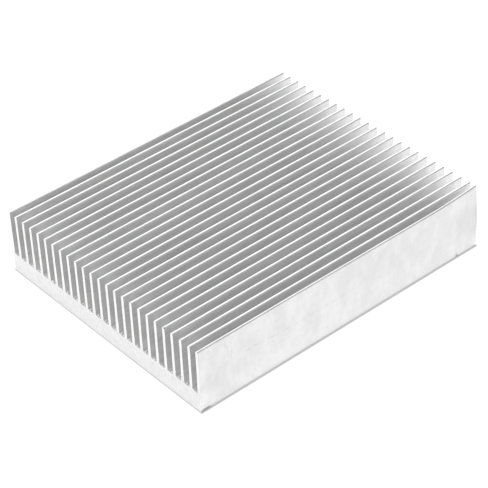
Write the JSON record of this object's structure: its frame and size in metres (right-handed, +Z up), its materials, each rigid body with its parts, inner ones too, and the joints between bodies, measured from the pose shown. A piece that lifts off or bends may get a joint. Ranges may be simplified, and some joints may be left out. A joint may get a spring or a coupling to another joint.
{
  "type": "extruded heat sink",
  "caption": "Rectangular extruded aluminium heat sink with a thick flat base and tall, closely spaced straight fins.",
  "frame": {"origin": "middle of the flat underside", "axes": "+Z up from the underside to the fin tips, +Y along the extrusion and its fins, X across the fins, with the knocked fin corner at +X, +Y"},
  "size_m": [0.12, 0.15, 0.03],
  "materials": {
    "aluminium": "mill finish, as extruded, with sawn ends"
  },
  "bodies": {
    "root": {"heat_sink": "aluminium"}
  },
  "joints": []
}
